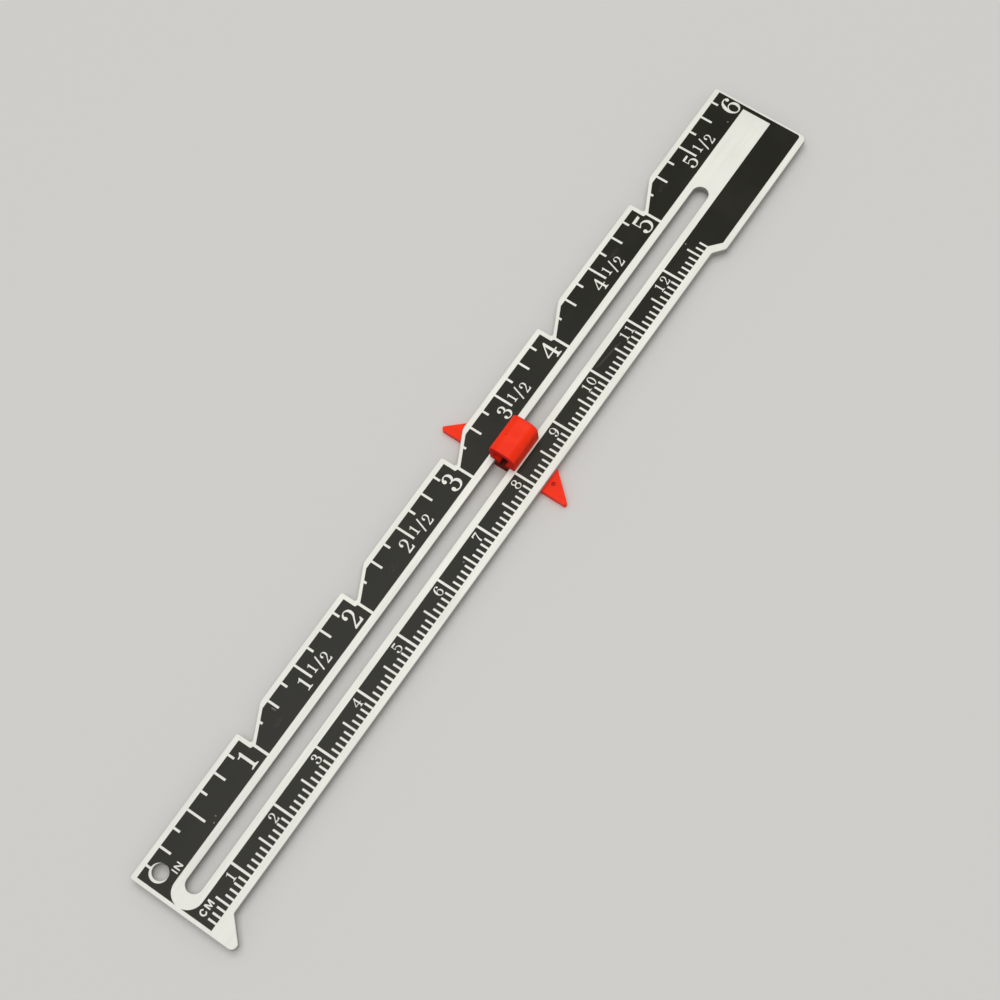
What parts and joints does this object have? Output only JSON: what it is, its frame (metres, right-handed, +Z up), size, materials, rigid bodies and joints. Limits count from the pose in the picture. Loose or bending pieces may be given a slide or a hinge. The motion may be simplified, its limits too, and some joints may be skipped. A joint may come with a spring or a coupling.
{
  "type": "sewing gauge",
  "caption": "Slotted aluminium rule with stepped notches, printed inch and centimetre scales, a corner lug, a hanging hole and a double-pointed slider.",
  "frame": {"origin": "halfway along the blade, below the slot's centre line, on the surface that the gauge lies on", "axes": "+X from the zero end to the six inch end, +Y to the inch edge, +Z up out of the printed face"},
  "size_m": [0.1514, 0.0224, 0.0063],
  "materials": {
    "aluminium_sheet": "satin",
    "black_print": "satin",
    "red_plastic": "gloss"
  },
  "bodies": {
    "rule": {"blade": "aluminium_sheet", "inch_scale_coat": "black_print", "metric_scale_coat": "black_print"},
    "slider": {"slider": "red_plastic"}
  },
  "joints": [
    {"name": "slide_along_slot", "type": "slide", "parent": "rule", "child": "slider", "axis": [1, 0, 0], "range_m": [-0.0759, 0.048]}
  ]
}
